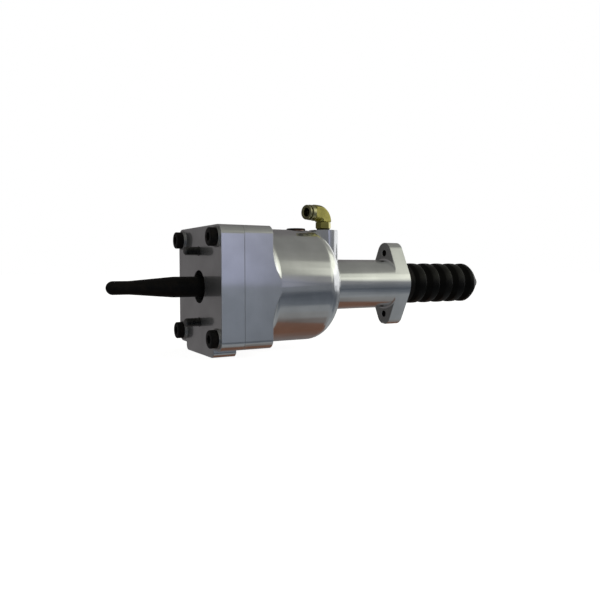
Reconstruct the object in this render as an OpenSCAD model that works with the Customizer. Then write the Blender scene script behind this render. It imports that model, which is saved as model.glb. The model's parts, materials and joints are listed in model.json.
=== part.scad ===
// Clutch servo: an air cylinder in line with its own control valve.
// The main axis is X. The front cover's face is at X = 0, the push rod points to -X,
// the rubber boot to +X, and +Z is up.

/* [Cover and block] */
// Width and height of the square block, over the middle of its sides
block_w = 109.6; // [106:0.2:116]
// Radius of the crown on each side of the block
crown_r = 800; // [500:10:2000]
// Corner radius of the block
corner_r = 8.6; // [6:0.2:12]
// Thickness of the front cover
cover_t = 21.8; // [18:0.1:26]
// Depth of the cover's spigot in the bore
cover_spigot = 5; // [4.5:0.5:6]
// Radius of the clearance hole for the push rod
cover_hole_r = 15.2; // [14.8:0.1:18]
// Width of the foot under the cover
foot_w = 71; // [50:1:80]
// How far the foot reaches below the block
foot_drop = 7.5; // [5:0.1:15]
// Corner radius of the foot
foot_r = 5; // [2:0.5:8]
// Length of the block behind the cover
block_len = 27.5; // [26:0.1:34]
// Radius of the hollow fillet between the block's back and the cylinder
back_fillet_r = 9; // [5:0.5:12]

/* [Screws and studs] */
// Distance of the cover screws from the sides of the block
screw_edge = 10.8; // [10:0.1:12]
// Radius of the cover screws
screw_r = 5; // [4:0.5:5]
// Radius of the screw heads
screw_head_r = 8; // [7:0.5:8.5]
// Height of the screw heads
screw_head_h = 6; // [5:0.5:8]
// Width across the flats of the sockets in the screws
screw_socket_af = 7; // [5:0.5:8]
// Depth of the sockets in the screws
screw_socket_depth = 3.5; // [2:0.5:4]
// Length of thread in the housing
screw_engage = 20; // [14:1:22]
// Radius of the washers
washer_r = 9; // [8.6:0.1:9.5]
// Thickness of the washers
washer_t = 1.8; // [1:0.1:2]
// Distance between the two studs
stud_pitch = 65.4; // [60:0.2:70]
// Radius of the studs
stud_r = 4; // [3:0.5:5]
// Length of stud in front of the cover
stud_out = 13.5; // [8:0.5:30]
// Length of stud in the cover
stud_in = 17; // [10:0.5:18]
// How much thicker the studs' press-in ends are, on the radius
stud_knurl = 0.3; // [0.2:0.1:0.6]
// Radius of the dowels between cover and housing
dowel_r = 3; // [2:0.25:3]
// Length of the dowels
dowel_len = 20; // [14:1:26]
// Distance of the dowels from the sides of the block
dowel_edge = 6.8; // [6.3:0.1:7.3]
// Distance between a dowel and the nearest screw, up and down
dowel_off_screw = 11; // [10:0.5:13]
// Depth of the spot faces under the washers
spot_face = 0.2; // [0.1:0.1:0.5]

/* [Cylinder] */
// How far the round cylinder stands over the flats of the block
crest = 0.2; // [0:0.1:1.2]
// Wall of the cylinder
cyl_wall = 7; // [6.5:0.25:9]
// Length of the bore behind the cover
bore_len = 101.2; // [100:0.2:110]
// Distance of the shoulder's start ahead of the end of the bore
shoulder_ahead = 13; // [12:0.2:14]
// Radius of the round shoulder
shoulder_r = 19.6; // [15:0.2:24]
// Angle through which the shoulder turns before its straight slope
shoulder_turn = 60; // [50:1:70]
// Outer radius of the flat end of the shoulder
end_face_r = 36.9; // [33:0.1:40]
// Edge radius of the flat end of the shoulder
end_edge_r = 3.2; // [1:0.1:5]
// Fillets at both ends of the neck
fillet_r = 2; // [1:0.25:3]
// Radius of the port boss
boss_r = 15; // [12:0.5:18]
// Height of the boss above the crest of the cylinder
boss_rise = 0.6; // [0.2:0.1:3]
// Distance of the port from the end of the bore
port_back = 12; // [11:0.5:14]
// Distance of the plug from the end of the bore
plug_ahead = 20.2; // [16:0.2:40]

/* [Neck and flange] */
// Outer radius of the neck
neck_r = 25.85; // [24:0.05:28]
// Length from the end of the bore to the front of the flange
neck_len = 90.6; // [88:0.2:110]
// Thickness of the flange
flange_t = 17; // [10:0.5:20]
// Distance between the flange bolt holes
flange_pitch = 66.4; // [62:0.2:74]
// Radius of the flange's ends
flange_end_r = 11.4; // [9:0.2:14]
// Radius of the flange bolt holes
flange_hole_r = 3.5; // [3:0.25:4.5]
// Length of the spigot behind the flange
spigot_len = 10; // [8:0.5:10.5]
// Wall of the spigot
spigot_wall = 2.2; // [1.8:0.1:2.8]
// Depth of the groove for the boot's bead
bead_depth = 0.8; // [0.4:0.1:0.9]
// Distance of the bead groove behind the flange
bead_back = 4; // [3.5:0.1:4.5]
// Width of the bead groove
bead_w = 3; // [2:0.1:3.5]
// Depth of the relief round the spigot in the flange's back
relief_depth = 0.6; // [0.3:0.1:1.5]
// Width of the air gallery round the stem, which the neck bushes fill
gallery_gap = 1.65; // [1.45:0.05:2.05]
// How much longer the air gallery is than the travel of the piston
gallery_spare = 7; // [6.5:0.5:12]
// Length of the front neck bush
bush_front_len = 20; // [12:1:24]
// Length of the rear neck bush
bush_rear_len = 16; // [10:1:20]
// Length of the spacer between the bushes
spacer_len = 5; // [2:1:8]
// Thickness of the circlips
circlip_t = 1.5; // [1:0.1:2]
// Depth of the circlips in their grooves
circlip_depth = 1.1; // [0.8:0.1:1.4]

/* [Piston and stem] */
// Travel of the piston
stroke = 30; // [10:1:32]
// Thickness of the piston's rim
piston_t = 18.5; // [16:0.5:20]
// Length of the piston's nose round the ball
piston_nose = 15; // [14:0.5:18]
// Radius of the piston's nose
nose_r = 22; // [21:0.5:24]
// Gap between the piston and the end of the bore, filled by the bump ring
bump_t = 1.5; // [1:0.1:2]
// Radius of the bump ring
bump_r = 38; // [36:0.5:40]
// Depth of the grooves for seals in the piston's rim
seal_depth = 3.4; // [2.5:0.1:4]
// Width of the piston seal
piston_seal_w = 5; // [4:0.5:6]
// Width of the wear band
wear_band_w = 5; // [3:0.5:6]
// Outer radius of the stem
stem_r = 15.95; // [15.5:0.05:16]
// Length of stem behind the spigot when the piston is back
stem_out = 3; // [1:0.5:5]
// Radius of the valve chamber in the stem
chamber_r = 10; // [9.8:0.1:10.2]
// Radius of the plunger's guide in the stem
guide_r = 8.5; // [8:0.1:9]
// Length of the plunger's guide
guide_len = 40; // [36:1:42]
// Radius of the spring space in the stem
spring_space_r = 12; // [11.5:0.1:12.5]
// Radius of the long drillings in the stem
duct_r = 1.5; // [1:0.1:1.6]

/* [Push rod] */
// Radius of the ball end
ball_r = 12; // [11.5:0.1:12.5]
// Distance of the ball's middle behind the nose's front
ball_sink = 9; // [8.6:0.1:9.6]
// Radius of the rod's thick end
rod_r = 9.42; // [8.8:0.02:10]
// Radius of the rod's tip
rod_tip_r = 6; // [5:0.1:8]
// Length of rod in front of the cover
rod_out = 83.6; // [70:0.2:110]
// Length of the straight tip, with its round end
rod_tip_len = 19.6; // [14:0.2:25]
// Length of the taper
rod_taper_len = 40; // [30:1:50]
// Radius of the neck behind the ball
rod_neck_r = 8; // [7:0.1:8.2]

/* [Springs] */
// Mean radius of the return spring
spring_r = 32; // [31:0.5:34]
// Wire diameter of the return spring
spring_wire = 5; // [4:0.25:5]
// Turns of the return spring, with its closed ends
spring_turns = 6.5; // [5:0.5:7]
// Thickness of the pressed seat of the return spring
spring_seat_t = 2; // [1:0.1:2.5]
// Height of the seat's lip inside the spring
spring_seat_lip = 3; // [1:0.5:6]

/* [Boot] */
// Gap between the stem and the valleys between the boot's folds
boot_gap = 0.75; // [0.6:0.05:1.5]
// Depth of the folds
fold_depth = 4; // [3:0.1:4.5]
// Number of folds
folds = 5; // [4:1:6]
// Length of one fold
fold_pitch = 19.15; // [17:0.05:21]
// How far the collar reaches past the spigot
collar_past = 0.8; // [0.6:0.1:1.5]
// Length of the nose behind the last peak
nose_len = 22.9; // [20:0.1:28]
// Roundness of the nose: 1 is a cone, 2 an ellipse
nose_round = 1.4; // [1.1:0.1:2]
// Radius of the hole in the nose
nose_hole_r = 5.5; // [5:0.1:6.2]
// Distance of the input cup's back from the last peak
cup_behind_peak = 10.4; // [2:0.2:11]
// Wall of the boot
boot_wall = 1.6; // [1.2:0.1:2]
// Width of the clip round the boot's collar
boot_clip_w = 5; // [3:0.5:6]
// Thickness of the clip
boot_clip_t = 0.8; // [0.5:0.1:0.8]

/* [Air fitting] */
// Width across the flats of the adapter's hexagon
hex_af = 14; // [12.5:0.5:17]
// Height of the hexagon
hex_h = 6.6; // [5:0.2:9]
// Thickness of the adapter's seal
adapter_seal_t = 1.8; // [1:0.1:2.5]
// Radius of the adapter's thread
port_thread_r = 4.86; // [4.5:0.02:5.2]
// Length of the adapter's thread
port_thread_len = 10; // [7:0.5:14]
// Outer radius of the elbow
elbow_r = 8.2; // [7.8:0.1:9]
// Inner radius of the elbow's bend
bend_inner = 0.4; // [0.3:0.1:1.5]
// Radius of the adapter's spigot in the elbow
swivel_r = 5.5; // [5:0.1:5.8]
// Radius of the air ways in the adapter and the elbow
air_way_r = 3; // [2:0.1:3.2]
// Distance from the swivel's axis to the sleeve's face
arm_len = 20.6; // [20:0.2:26]
// Turn of the arm from the main axis, as seen from above
arm_turn = 13; // [-90:1:90]
// Radius of the tube socket
tube_r = 4.1; // [3.9:0.05:4.2]
// Width of the seal round the tube
tube_seal_w = 2.4; // [2:0.1:2.5]
// Radius of the bore that holds the seal and the sleeve's inner end
socket_r = 6.25; // [6.15:0.05:6.4]
// Wall between the tube and the sleeve's bore, which the collar fills
collar_wall = 1.3; // [1.1:0.1:1.4]
// Length of the sleeve in front of the elbow
sleeve_len = 4.6; // [4.4:0.1:5]
// Length of the sleeve's inner end in the elbow
sleeve_reach = 2.2; // [1.6:0.1:2.6]
// Outer radius of the sleeve
sleeve_r = 7.7; // [7:0.1:8]
// Gap between the sleeve and the rim of the release collar
collar_gap = 1.6; // [1.3:0.1:2]
// Thickness of the collar's rim
collar_rim_t = 2; // [1.6:0.1:3]
// Radius of the low plug on the cylinder
plug_r = 9.5; // [8:0.5:10]
// Thickness of the plug's head
plug_head_t = 1.9; // [1:0.1:3]
// Depth of the plug's seat in the cylinder
plug_seat = 1; // [0.8:0.1:1.2]
// Radius of the plug's thread
plug_thread_r = 6.5; // [5:0.5:7]
// Length of the plug's thread
plug_thread_len = 3.6; // [2:0.2:4]
// Thickness of the plug's seal
plug_seal_t = 0.6; // [0.4:0.1:1]

/* [Fits] */
// Radial clearance of a piece fixed in its seat
seat_gap = 0.05; // [0.02:0.01:0.1]
// Radial clearance of a running fit
run_gap = 0.06; // [0.03:0.01:0.09]
// Clearance of a seal from the wall it wipes
wipe_gap = 0.1; // [0.08:0.01:0.15]
// Clearance between pieces that pass or nearly touch
free_gap = 0.3; // [0.25:0.05:0.4]

/* [Hidden] */
$fn = 96;

// Sizes that follow the block
cyl_r = block_w / 2 + crest;
bore_r = cyl_r - cyl_wall;
foot_h = block_w / 2 + foot_drop;
boss_top = cyl_r + boss_rise;
screw_pitch = block_w - 2 * screw_edge;
dowel_y = block_w / 2 - dowel_edge;
dowel_z = screw_pitch / 2 - dowel_off_screw;

// Sizes that follow the stem
gallery_r = stem_r + gallery_gap;
gallery_len = stroke + gallery_spare;
spigot_r = gallery_r + spigot_wall;
boot_collar_len = spigot_len + collar_past;
boot_r = stem_r + boot_gap + boot_wall + fold_depth;

// Stations along the main axis
bore_end = cover_t + bore_len;
shoulder_x = bore_end - shoulder_ahead;
flange_x = bore_end + neck_len;
flange_back = flange_x + flange_t;
spigot_end = flange_back + spigot_len;
bead_x = flange_back + bead_back;
port_x = bore_end + port_back;
plug_x = bore_end - plug_ahead;
piston_back = bore_end - bump_t;
piston_front = piston_back - piston_t;
nose_front = piston_front - piston_nose;
cover_inner = cover_t + cover_spigot;
stem_end = spigot_end + stem_out;
last_peak = flange_back + boot_collar_len + (folds - 0.5) * fold_pitch;
cup_back = last_peak + cup_behind_peak;

// Stations inside the neck
land_x = bore_end + 3;
gallery_x = land_x + 5.5;
front_clip_x = gallery_x + gallery_len;
rear_seal_x = front_clip_x + circlip_t;
front_bush_x = rear_seal_x + 4;
spacer_x = front_bush_x + bush_front_len;
rear_bush_x = spacer_x + spacer_len;
rear_clip_x = rear_bush_x + bush_rear_len;

// Stations of the valve, from the supply holes that reach the gallery at full stroke
supply_x = gallery_x + stroke + 2.5;
valve_plug_x = supply_x - 14;
poppet_x = supply_x + 3;
seat_x = supply_x + 9;
seat_t = 3;
guide_x = seat_x + seat_t;
plunger_x = guide_x + 8;
guide_end = guide_x + guide_len;
plunger_end = guide_end - 2;
collar_x = stem_end - 7.6;
collar_t = 3;
stem_clip_x = collar_x + collar_t + free_gap;

// Piston and ball
piston_r = bore_r - free_gap;
ball_x = nose_front + ball_sink;
pocket_r = 17;
pocket_end = ball_x + ball_r + 1.5;
web_end = pocket_end + 2.5;
thread_r = stem_r - 1.95;
opening_r = rod_neck_r + 1.2;

// Fitting
bend_r = elbow_r + bend_inner;
sleeve_back = arm_len - sleeve_len;
sleeve_bore_r = tube_r + collar_wall;
seal_end = sleeve_back - sleeve_reach - 1.2;
seal_start = seal_end - tube_seal_w;
arm_z = boss_top + adapter_seal_t + hex_h + free_gap + bend_r;
elbow_z = arm_z - bend_r;
hex_z = boss_top + adapter_seal_t;

// Points of an arc round (x, r), from angle a0 to a1, counted from straight out
function arc(x, r, radius, a0, a1, n) =
    [for (i = [0:n]) let (a = a0 + (a1 - a0) * i / n) [x + radius * sin(a), r + radius * cos(a)]];

// Solid turned about the main axis from points [x, radius]
module turned(points) {
    rotate([0, 90, 0]) rotate_extrude() polygon([for (p = points) [p[1], p[0]]]);
}

// Round bar along the main axis
module bar(x0, x1, r) {
    translate([x0, 0, 0]) rotate([0, 90, 0]) cylinder(h = x1 - x0, r = r);
}

// Ring along the main axis
module ring(x0, x1, r_out, r_in) {
    difference() {
        bar(x0, x1, r_out);
        bar(x0 - 1, x1 + 1, r_in);
    }
}

// Ring of round section about the main axis
module round_ring(x, r_mid, section) {
    translate([x, 0, 0]) rotate([0, 90, 0]) rotate_extrude()
        translate([r_mid, 0]) circle(d = section, $fn = 32);
}

// Copies at the four cover screws
module at_screws() {
    for (y = [-1, 1], z = [-1, 1])
        translate([0, y * screw_pitch / 2, z * screw_pitch / 2]) children();
}

// Copies at the two dowels
module at_dowels() {
    for (side = [-1, 1]) translate([0, side * dowel_y, -side * dowel_z]) children();
}

// Copies above and below the axis
module above_and_below(distance) {
    for (side = [-1, 1]) translate([0, 0, side * distance]) children();
}

// Square outline with round corners, then crowned a little on every side
module block_outline() {
    half = block_w / 2;
    flat = half - corner_r;
    intersection() {
        union() {
            square([block_w, 2 * flat], center = true);
            square([2 * flat, block_w], center = true);
            for (y = [-1, 1], z = [-1, 1]) translate([y * flat, z * flat]) circle(r = corner_r);
        }
        for (turn = [0, 90]) rotate(turn) intersection() {
            translate([crown_r - half, 0]) circle(r = crown_r, $fn = 720);
            translate([half - crown_r, 0]) circle(r = crown_r, $fn = 720);
        }
    }
}

// Length of the block outline along the main axis
module block(x0, x1) {
    translate([x0, 0, 0]) rotate([90, 0, 90]) linear_extrude(x1 - x0) block_outline();
}

// Turned envelope of the block's back: a flat face, then a hollow fillet that runs out
// into the cylinder
module block_back() {
    back_x = cover_t + block_len;
    fillet_x = back_x + back_fillet_r;
    turned(concat([[cover_t, 0], [cover_t, block_w], [back_x, block_w]],
        arc(fillet_x, cyl_r + back_fillet_r, back_fillet_r, 270, 180, 10), [[fillet_x, 0]]));
}

// Outline of the cylinder, its shoulder and the neck, as far as the flange
function casing_points() =
    let (slope_start = arc(shoulder_x, cyl_r - shoulder_r, shoulder_r, 0, shoulder_turn, 12),
        last = slope_start[12],
        edge = arc(0, end_face_r, end_edge_r, shoulder_turn, 90, 5),
        run = (last[1] - edge[0][1]) / tan(shoulder_turn),
        shift = last[0] + run - edge[0][0])
    concat([[cover_t, 0], [cover_t, cyl_r]], slope_start,
        [for (p = edge) [p[0] + shift, p[1]]],
        arc(shift + end_edge_r + fillet_r, neck_r + fillet_r, fillet_r, 270, 180, 5),
        [[flange_x + 1, neck_r], [flange_x + 1, 0]]);

// Two-bolt flange's outline: round middle and ends, joined by their common tangents
module flange_outline() {
    lean = asin((neck_r - flange_end_r) / (flange_pitch / 2));
    mid = [neck_r * cos(lean), neck_r * sin(lean)];
    tip = [flange_end_r * cos(lean), flange_pitch / 2 + flange_end_r * sin(lean)];
    union() {
        circle(r = neck_r);
        for (side = [-1, 1]) translate([0, side * flange_pitch / 2]) circle(r = flange_end_r);
        polygon([mid, tip, [-tip[0], tip[1]], [-mid[0], mid[1]],
            [-mid[0], -mid[1]], [-tip[0], -tip[1]], [tip[0], -tip[1]], [mid[0], -mid[1]]]);
    }
}

// Flange, with a relief in its back that lets the boot pass through the opening of
// a bracket, and the fillet round the neck where it meets the flange's front
module flange() {
    difference() {
        translate([flange_x, 0, 0]) rotate([90, 0, 90]) linear_extrude(flange_t) flange_outline();
        bar(flange_back - relief_depth, flange_back + 1, boot_r + 0.5);
    }
    intersection() {
        translate([flange_x - 2 * fillet_r, 0, 0]) rotate([90, 0, 90])
            linear_extrude(3 * fillet_r) flange_outline();
        turned(concat([[flange_x - fillet_r, 0]],
            arc(flange_x - fillet_r, neck_r + fillet_r, fillet_r, 180, 90, 5),
            [[flange_x + 1, neck_r + fillet_r], [flange_x + 1, 0]]));
    }
}

// Spigot for the boot, with a groove for the boot's bead
module boot_spigot() {
    root_x = flange_back - relief_depth - 1;
    turned([[root_x, 0], [root_x, spigot_r], [bead_x, spigot_r],
        [bead_x, spigot_r - bead_depth], [bead_x + bead_w, spigot_r - bead_depth],
        [bead_x + bead_w, spigot_r], [spigot_end - 1, spigot_r], [spigot_end, spigot_r - 1],
        [spigot_end, 0]]);
}

// Everything that is bored from the ends of the housing
module housing_bores() {
    turned([[cover_t - 1, 0], [cover_t - 1, bore_r], [bore_end, bore_r], [bore_end, nose_r],
        [land_x, nose_r], [land_x, stem_r + free_gap], [land_x + 1.3, stem_r + free_gap],
        [land_x + 1.3, stem_r + 2.6], [land_x + 4.3, stem_r + 2.6],
        [land_x + 4.3, stem_r + free_gap], [gallery_x, stem_r + free_gap],
        [gallery_x, gallery_r], [front_clip_x, gallery_r],
        [front_clip_x, gallery_r + circlip_depth], [rear_seal_x, gallery_r + circlip_depth],
        [rear_seal_x, gallery_r], [rear_clip_x, gallery_r],
        [rear_clip_x, gallery_r + circlip_depth],
        [rear_clip_x + circlip_t, gallery_r + circlip_depth],
        [rear_clip_x + circlip_t, gallery_r], [spigot_end + 1, gallery_r], [spigot_end + 1, 0]]);
}

module housing() {
    color("silver") difference() {
        union() {
            intersection() {
                block(cover_t, cover_t + block_len + back_fillet_r);
                block_back();
            }
            turned(casing_points());
            translate([port_x, 0, 0]) cylinder(h = boss_top, r = boss_r);
            flange();
            boot_spigot();
        }
        housing_bores();
        at_screws() bar(cover_t - 1, cover_t + screw_engage + 2, screw_r + seat_gap);
        at_dowels() bar(cover_t - 1, cover_t + dowel_len / 2 + 0.5, dowel_r + seat_gap);
        above_and_below(flange_pitch / 2) bar(flange_x - 1, flange_back + 1, flange_hole_r);
        // Air port in the boss
        translate([port_x, 0, boss_top - port_thread_len - 1])
            cylinder(h = port_thread_len + 2, r = port_thread_r + seat_gap);
        translate([port_x, 0, stem_r]) cylinder(h = boss_top - stem_r - 5, r = 3.5);
        // Blind seat of the low plug
        translate([plug_x, 0, cyl_r - plug_seat]) cylinder(h = 5, r = plug_r + 0.7);
        translate([plug_x, 0, cyl_r - plug_seat - plug_thread_len - 0.4])
            cylinder(h = 5, r = plug_thread_r + seat_gap);
    }
}

// Foot under the cover: a straight pad with two round corners
module foot_outline() {
    half = foot_w / 2;
    union() {
        translate([-half, foot_r - foot_h]) square([foot_w, foot_h - foot_r - block_w / 4]);
        translate([foot_r - half, -foot_h]) square([foot_w - 2 * foot_r, foot_r + 1]);
        for (side = [-1, 1]) translate([side * (half - foot_r), foot_r - foot_h]) circle(r = foot_r);
    }
}

module front_cover() {
    color("silver") difference() {
        union() {
            block(0, cover_t);
            rotate([90, 0, 90]) linear_extrude(cover_t) foot_outline();
            bar(cover_t - 1, cover_inner, bore_r - wipe_gap);
        }
        bar(-1, cover_inner + 1, cover_hole_r);
        // Relief that saves metal behind the hole, and the seal's groove
        turned([[cover_t - 8, cover_hole_r - 1], [cover_t - 8, nose_r],
            [cover_t - 4, nose_r + 4], [cover_inner + 1, nose_r + 4],
            [cover_inner + 1, cover_hole_r - 1]]);
        ring(cover_t + 1.2, cover_t + 4, bore_r + 1, bore_r - 2.75);
        at_screws() {
            bar(-1, cover_t + 1, screw_r + 0.5);
            bar(-1, spot_face, washer_r + free_gap);
        }
        at_dowels() bar(cover_t - dowel_len / 2 - 0.5, cover_t + 1, dowel_r + seat_gap);
        above_and_below(stud_pitch / 2) bar(-1, stud_in + 0.5, stud_r + stud_knurl + seat_gap);
    }
}

// Low cap screw with its head to -X, drawn with the head's seat at x = 0
module cap_screw(length) {
    difference() {
        union() {
            turned([[-screw_head_h, 0], [-screw_head_h, screw_head_r - 1],
                [-screw_head_h + 0.3, screw_head_r - 0.3], [-screw_head_h + 1, screw_head_r],
                [0, screw_head_r], [0, 0]]);
            turned([[-1, 0], [-1, screw_r], [length - 1, screw_r], [length, screw_r - 1],
                [length, 0]]);
        }
        translate([-screw_head_h - 1, 0, 0]) rotate([0, 90, 0])
            cylinder(h = screw_socket_depth + 1, d = screw_socket_af / cos(30), $fn = 6);
    }
}

module cover_screws() {
    seat = spot_face - washer_t;
    color([0.08, 0.08, 0.08]) at_screws()
        translate([seat, 0, 0]) cap_screw(cover_t + screw_engage - seat);
}

module cover_washers() {
    color([0.35, 0.35, 0.35]) at_screws()
        ring(spot_face - washer_t, spot_face, washer_r, screw_r + 0.3);
}

module mounting_studs() {
    root_r = stud_r + stud_knurl;
    color([0.1, 0.1, 0.1]) above_and_below(stud_pitch / 2)
        turned([[-stud_out, 0], [-stud_out, stud_r - 1], [1 - stud_out, stud_r], [0, stud_r],
            [0, root_r], [stud_in - 1, root_r], [stud_in, root_r - 1], [stud_in, 0]]);
}

module cover_dowels() {
    color("gray") at_dowels() turned([
        [cover_t - dowel_len / 2, 0], [cover_t - dowel_len / 2, dowel_r - 0.5],
        [cover_t - dowel_len / 2 + 0.5, dowel_r], [cover_t + dowel_len / 2 - 0.5, dowel_r],
        [cover_t + dowel_len / 2, dowel_r - 0.5], [cover_t + dowel_len / 2, 0]]);
}

module cover_seal() {
    color([0.1, 0.1, 0.1]) round_ring(cover_t + 2.6, bore_r - 1.4, 2.6);
}

// Pressed ring that centres the return spring on the cover
module spring_seat() {
    inner = spring_r - spring_wire / 2 - 2.3;
    outer = spring_r + spring_wire / 2 + 2;
    back = cover_inner + spring_seat_t;
    color("slategray") turned([[cover_inner, inner], [cover_inner, outer], [back, outer],
        [back, inner + 1.8], [back + spring_seat_lip, inner + 1.8],
        [back + spring_seat_lip, inner]]);
}

// Coil spring along X with closed ends: the end turns lie wire on wire
function coil_x(turn, turns, wire, length) =
    let (open = length - 3 * wire, active = turns - 2)
    wire / 2 + (turn < 1 ? turn * wire
        : turn > turns - 1 ? length - wire - (turns - turn) * wire
        : wire + (turn - 1) * open / active);

module coil_spring(x0, length, mean_r, wire, turns, steps, sides) {
    rings = round(turns * steps);
    points = [for (i = [0:rings], j = [0:sides - 1])
        let (turn = i / steps, a = 360 * turn, b = 360 * j / sides,
            r = mean_r + wire / 2 * cos(b))
        [x0 + coil_x(turn, turns, wire, length) + wire / 2 * sin(b), r * cos(a), r * sin(a)]];
    sides_faces = [for (i = [0:rings - 1], j = [0:sides - 1])
        let (k = (j + 1) % sides)
        [i * sides + j, i * sides + k, (i + 1) * sides + k, (i + 1) * sides + j]];
    start = [for (j = [0:sides - 1]) sides - 1 - j];
    end = [for (j = [0:sides - 1]) rings * sides + j];
    polyhedron(points, concat([start], sides_faces, [end]), convexity = 10);
}

module return_spring() {
    start = cover_inner + spring_seat_t + free_gap / 2;
    color("dimgray") coil_spring(start, piston_front + 2 - start - free_gap / 2, spring_r,
        spring_wire, spring_turns, 24, 8);
}

module port_plug() {
    top = cyl_r - plug_seat + plug_seal_t;
    color([0.16, 0.16, 0.16]) translate([plug_x, 0, top]) difference() {
        union() {
            rotate_extrude() polygon([[0, 0], [plug_r, 0], [plug_r, plug_head_t - 0.6],
                [plug_r - 0.6, plug_head_t], [0, plug_head_t]]);
            translate([0, 0, -plug_thread_len - plug_seal_t])
                cylinder(h = plug_thread_len + plug_seal_t + 0.1, r = plug_thread_r);
        }
        translate([0, 0, -1.5]) cylinder(h = 5, d = 8 / cos(30), $fn = 6);
    }
}

module plug_seal() {
    color("peru") translate([plug_x, 0, cyl_r - plug_seat]) difference() {
        cylinder(h = plug_seal_t, r = plug_r - 0.3);
        translate([0, 0, -1]) cylinder(h = plug_seal_t + 2, r = plug_thread_r + 0.1);
    }
}

// Hexagon with chamfered corners, a thread below and a swivel spigot above
module port_adapter() {
    corner_r = hex_af / 2 / cos(30);
    color([0.72, 0.65, 0.3]) translate([port_x, 0, hex_z]) difference() {
        union() {
            intersection() {
                rotate([0, 0, 30 + arm_turn]) cylinder(h = hex_h, r = corner_r, $fn = 6);
                rotate_extrude() polygon([[0, 0], [corner_r - 0.9, 0], [corner_r, 0.6],
                    [corner_r, hex_h - 0.6], [corner_r - 0.9, hex_h], [0, hex_h]]);
            }
            translate([0, 0, -adapter_seal_t - port_thread_len])
                cylinder(h = adapter_seal_t + port_thread_len + 1, r = port_thread_r);
            rotate_extrude() polygon([[0, 1], [swivel_r, 1], [swivel_r, hex_h + 1.4],
                [swivel_r - 0.6, hex_h + 1.4], [swivel_r - 0.6, hex_h + 2.6],
                [swivel_r, hex_h + 2.6], [swivel_r, hex_h + 4], [swivel_r - 1.3, hex_h + 4],
                [swivel_r - 1.3, hex_h + 5.8], [swivel_r, hex_h + 5.8],
                [swivel_r, hex_h + 7], [swivel_r - 0.5, hex_h + 7.5], [0, hex_h + 7.5]]);
        }
        translate([0, 0, -adapter_seal_t - port_thread_len - 1])
            cylinder(h = adapter_seal_t + port_thread_len + hex_h + 9.5, r = air_way_r);
    }
}

module adapter_seal() {
    color([0.15, 0.15, 0.15]) translate([port_x, 0, boss_top]) difference() {
        cylinder(h = adapter_seal_t, r = hex_af / 2 - 0.4);
        translate([0, 0, -1]) cylinder(h = adapter_seal_t + 2, r = port_thread_r + 0.1);
    }
}

// Lip seal with a V-groove towards x1 or x0
module lip_seal(x0, x1, r_out, r_in) {
    mid = (r_out + r_in) / 2;
    turned([[x0, r_in], [x0, r_out], [x1, r_out], [x1, mid + 0.35], [x1 - 1.4, mid],
        [x1, mid - 0.35], [x1, r_in]]);
}

module neck_seal_front() {
    color([0.12, 0.12, 0.12])
        lip_seal(land_x + 1.4, land_x + 4.2, stem_r + 2.55, stem_r + wipe_gap);
}

module neck_seal_rear() {
    color([0.12, 0.12, 0.12])
        lip_seal(rear_seal_x, front_bush_x, gallery_r - seat_gap, stem_r + wipe_gap);
}

// Split-free bronze bush with chamfered bore
module neck_bush(x0, length) {
    turned([[x0, stem_r + run_gap + 0.5], [x0, gallery_r - seat_gap],
        [x0 + length, gallery_r - seat_gap], [x0 + length, stem_r + run_gap + 0.5],
        [x0 + length - 0.5, stem_r + run_gap], [x0 + 0.5, stem_r + run_gap]]);
}

module neck_bush_front() {
    color("darkgoldenrod") neck_bush(front_bush_x, bush_front_len);
}

module bush_spacer() {
    color("silver") ring(spacer_x, rear_bush_x, gallery_r - seat_gap, stem_r + 0.6);
}

module neck_bush_rear() {
    color("darkgoldenrod") neck_bush(rear_bush_x, bush_rear_len);
}

// Open ring in a groove, its gap upwards
module circlip(x, r_out, r_in) {
    difference() {
        ring(x, x + circlip_t, r_out, r_in);
        translate([x - 1, -2, 0]) cube([circlip_t + 2, 4, r_out + 1]);
    }
}

module neck_circlips() {
    color("dimgray") for (x = [front_clip_x, rear_clip_x])
        circlip(x, gallery_r + circlip_depth - seat_gap, stem_r + 0.5);
}

// Boot: collar, round folds, then a nose whose outline runs from a cone to an ellipse
function fold_points(wall) =
    let (half = fold_pitch / 2, radius = (half * half + fold_depth * fold_depth) / (2 * fold_depth),
        sweep = asin(half / radius), first = flange_back + boot_collar_len)
    [for (k = [0:folds - 1], i = [0:k == folds - 1 ? 4 : 7])
        let (a = -sweep + 2 * sweep * i / 8)
        [first + (k + 0.5) * fold_pitch + radius * sin(a),
            boot_r - radius + radius * cos(a) - wall]];

function nose_points(wall) =
    [for (a = [0:6:66]) let (r = boot_r * pow(cos(a), 2 / nose_round) - wall)
        [last_peak + (nose_len - wall) * pow(sin(a), 2 / nose_round), max(r, nose_hole_r + 1)]];

module boot() {
    collar_r = spigot_r + boot_wall;
    outer = concat([[flange_back + 0.1, collar_r], [flange_back + boot_collar_len - 0.7, collar_r]],
        fold_points(0), nose_points(0));
    bead_end = bead_x + bead_w;
    inner = concat([[flange_back + 0.1, spigot_r + seat_gap],
        [bead_x + 0.3, spigot_r + seat_gap], [bead_x + 0.7, spigot_r + 0.2 - bead_depth],
        [bead_end - 0.7, spigot_r + 0.2 - bead_depth], [bead_end - 0.3, spigot_r + seat_gap],
        [spigot_end + 0.2, spigot_r + seat_gap]],
        fold_points(boot_wall), nose_points(boot_wall));
    end = nose_points(0)[11];
    color([0.07, 0.07, 0.07]) turned(concat(outer, [[end[0] + 0.4, nose_hole_r]],
        [[end[0] - boot_wall, nose_hole_r]], [for (i = [len(inner) - 1:-1:0]) inner[i]]));
}

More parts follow.
